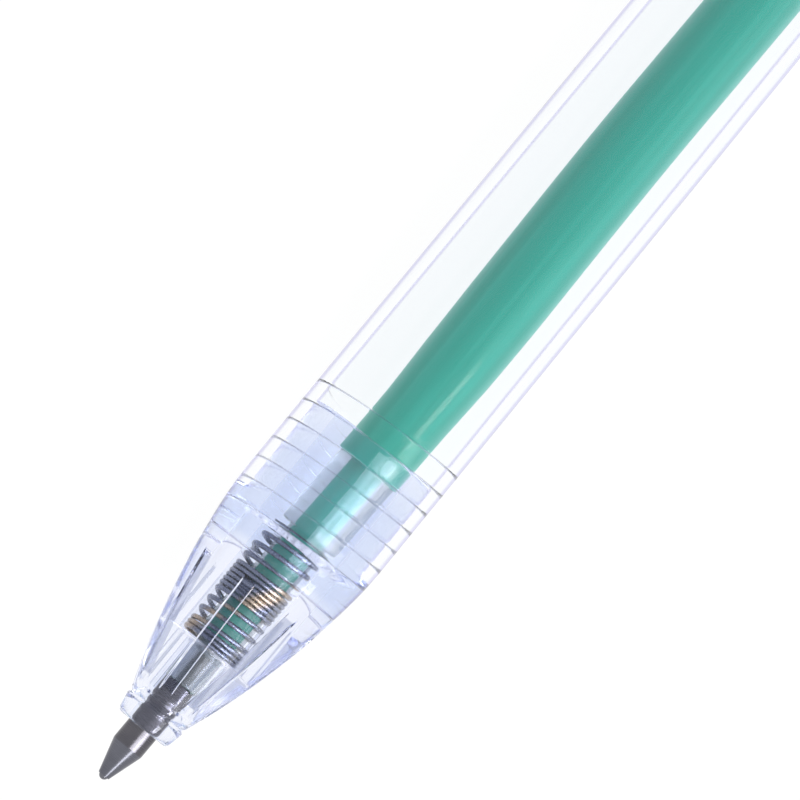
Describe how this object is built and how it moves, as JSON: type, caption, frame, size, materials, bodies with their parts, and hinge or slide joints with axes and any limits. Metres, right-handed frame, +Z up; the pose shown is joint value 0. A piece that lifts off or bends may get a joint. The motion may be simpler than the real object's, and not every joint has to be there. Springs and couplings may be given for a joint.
{
  "type": "pushbutton ballpoint pen",
  "caption": "Retractable ballpoint pen with a clear barrel, fluted clear nose, coil spring, green ink refill, click mechanism, pocket clip and push button.",
  "frame": {"origin": "foremost point of the writing ball, on the pen's axis, with the point out", "axes": "+X back along the pen's axis from the ball to the button, +Z up as the pen lies on a table on its barrel and clip"},
  "size_m": [0.132, 0.015, 0.0116],
  "materials": {
    "clear_plastic": "polished clear polystyrene, faint lilac tint",
    "green_plastic": "translucent green moulding",
    "refill_plastic": "translucent tube over green ink",
    "ink": "green ink",
    "pale_plastic": "translucent natural plastic",
    "white_plastic": "white acetal",
    "spring_steel": "drawn wire with a faint straw tint",
    "tip_metal": "turned nickel silver",
    "ball_metal": "polished carbide"
  },
  "bodies": {
    "barrel": {"nose_cone": "clear_plastic", "barrel": "clear_plastic", "cam_sleeve": "white_plastic", "top_collar": "green_plastic", "clip": "green_plastic", "return_spring": "spring_steel"},
    "refill": {"refill_tube": "refill_plastic", "ink_column": "ink", "tip_holder": "pale_plastic", "writing_tip": "tip_metal", "refill_plug": "pale_plastic"},
    "ball": {"ball": "ball_metal"},
    "rotor": {"rotor": "white_plastic"},
    "button": {"plunger": "white_plastic", "push_button": "green_plastic"}
  },
  "joints": [
    {"name": "refill_slide", "type": "slide", "parent": "barrel", "child": "refill", "axis": [1, 0, 0], "range_m": [0, 0.0056], "deforming": ["return_spring"]},
    {"name": "button_slide", "type": "slide", "parent": "barrel", "child": "button", "axis": [1, 0, 0], "range_m": [0, 0.0056]},
    {"name": "rotor_turn", "type": "hinge", "parent": "refill", "child": "rotor", "pos_m": [0.1071, 0, 0], "axis": [1, 0, 0], "continuous": true},
    {"name": "ball_roll", "type": "hinge", "parent": "refill", "child": "ball", "pos_m": [0.00036, 0, 0], "axis": [0, 1, 0], "continuous": true}
  ],
  "couplings": [
    {"joint": "button_slide", "follows": "refill_slide", "ratio": 1}
  ]
}
